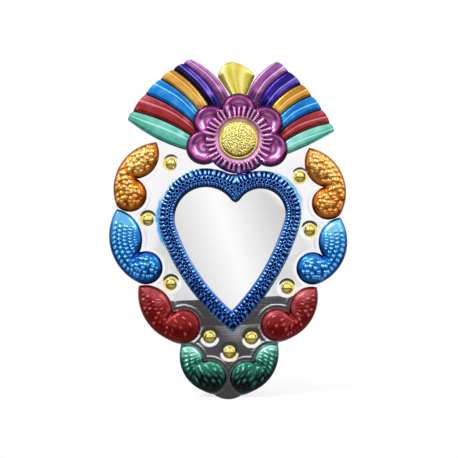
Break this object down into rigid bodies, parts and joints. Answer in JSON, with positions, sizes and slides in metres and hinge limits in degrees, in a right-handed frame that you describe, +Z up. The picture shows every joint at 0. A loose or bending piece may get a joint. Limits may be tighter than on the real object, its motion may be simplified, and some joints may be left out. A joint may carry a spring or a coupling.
{
  "type": "heart wall mirror",
  "caption": "Heart-shaped wall mirror in a lobed plate of pressed tin with lacquered scrolls, a flower, feather fans and domed studs, and a hanging ring behind.",
  "frame": {"origin": "on the back cover's flat back, where the wall touches it, at the middle of the border's widest part", "axes": "+X to the viewer's right, +Y into the wall, +Z up; the front looks to -Y"},
  "size_m": [0.175, 0.0122, 0.2492],
  "materials": {
    "tin": "bright, finely brushed",
    "tin_back": "plain rolled tin",
    "bezel_blue": "translucent gloss lacquer",
    "mirror": "silvered glass",
    "card": "grey-brown pulp board",
    "magenta": "translucent gloss lacquer",
    "gold": "translucent gold lacquer",
    "yellow": "translucent gloss lacquer",
    "ring_wire": "drawn wire",
    "lobe_orange": "translucent gloss lacquer",
    "lobe_blue": "translucent gloss lacquer",
    "lobe_red": "translucent gloss lacquer",
    "lobe_green": "translucent gloss lacquer",
    "feather_purple": "translucent gloss lacquer",
    "feather_indigo": "translucent gloss lacquer",
    "feather_amber": "translucent gloss lacquer",
    "feather_azure": "translucent gloss lacquer",
    "feather_scarlet": "translucent gloss lacquer",
    "feather_emerald": "translucent gloss lacquer"
  },
  "bodies": {
    "frame": {"base_plate": "tin", "back_cover": "tin_back", "heart_bezel": "bezel_blue", "mirror_glass": "mirror", "backing_card": "card", "flower_petals": "magenta", "flower_centre": "gold", "feather_crest": "yellow", "hanger_strap": "tin_back", "lobe_left_orange": "lobe_orange", "lobe_left_blue": "lobe_blue", "lobe_left_red": "lobe_red", "lobe_left_green": "lobe_green", "feather_left_purple": "feather_purple", "feather_left_indigo": "feather_indigo", "feather_left_amber": "feather_amber", "feather_left_azure": "feather_azure", "feather_left_scarlet": "feather_scarlet", "feather_left_emerald": "feather_emerald", "lobe_right_orange": "lobe_orange", "lobe_right_blue": "lobe_blue", "lobe_right_red": "lobe_red", "lobe_right_green": "lobe_green", "feather_right_purple": "feather_purple", "feather_right_indigo": "feather_indigo", "feather_right_amber": "feather_amber", "feather_right_azure": "feather_azure", "feather_right_scarlet": "feather_scarlet", "feather_right_emerald": "feather_emerald", "stud_1": "gold", "stud_2": "gold", "stud_3": "gold", "stud_4": "gold", "stud_5": "gold", "stud_6": "gold", "stud_7": "gold", "stud_8": "gold", "stud_9": "gold"},
    "ring": {"hanger_ring": "ring_wire"}
  },
  "joints": [
    {"name": "ring_swing", "type": "hinge", "parent": "frame", "child": "ring", "pos_m": [0, -0.00225, 0.084], "axis": [1, 0, 0], "range_deg": [0, 180]}
  ]
}
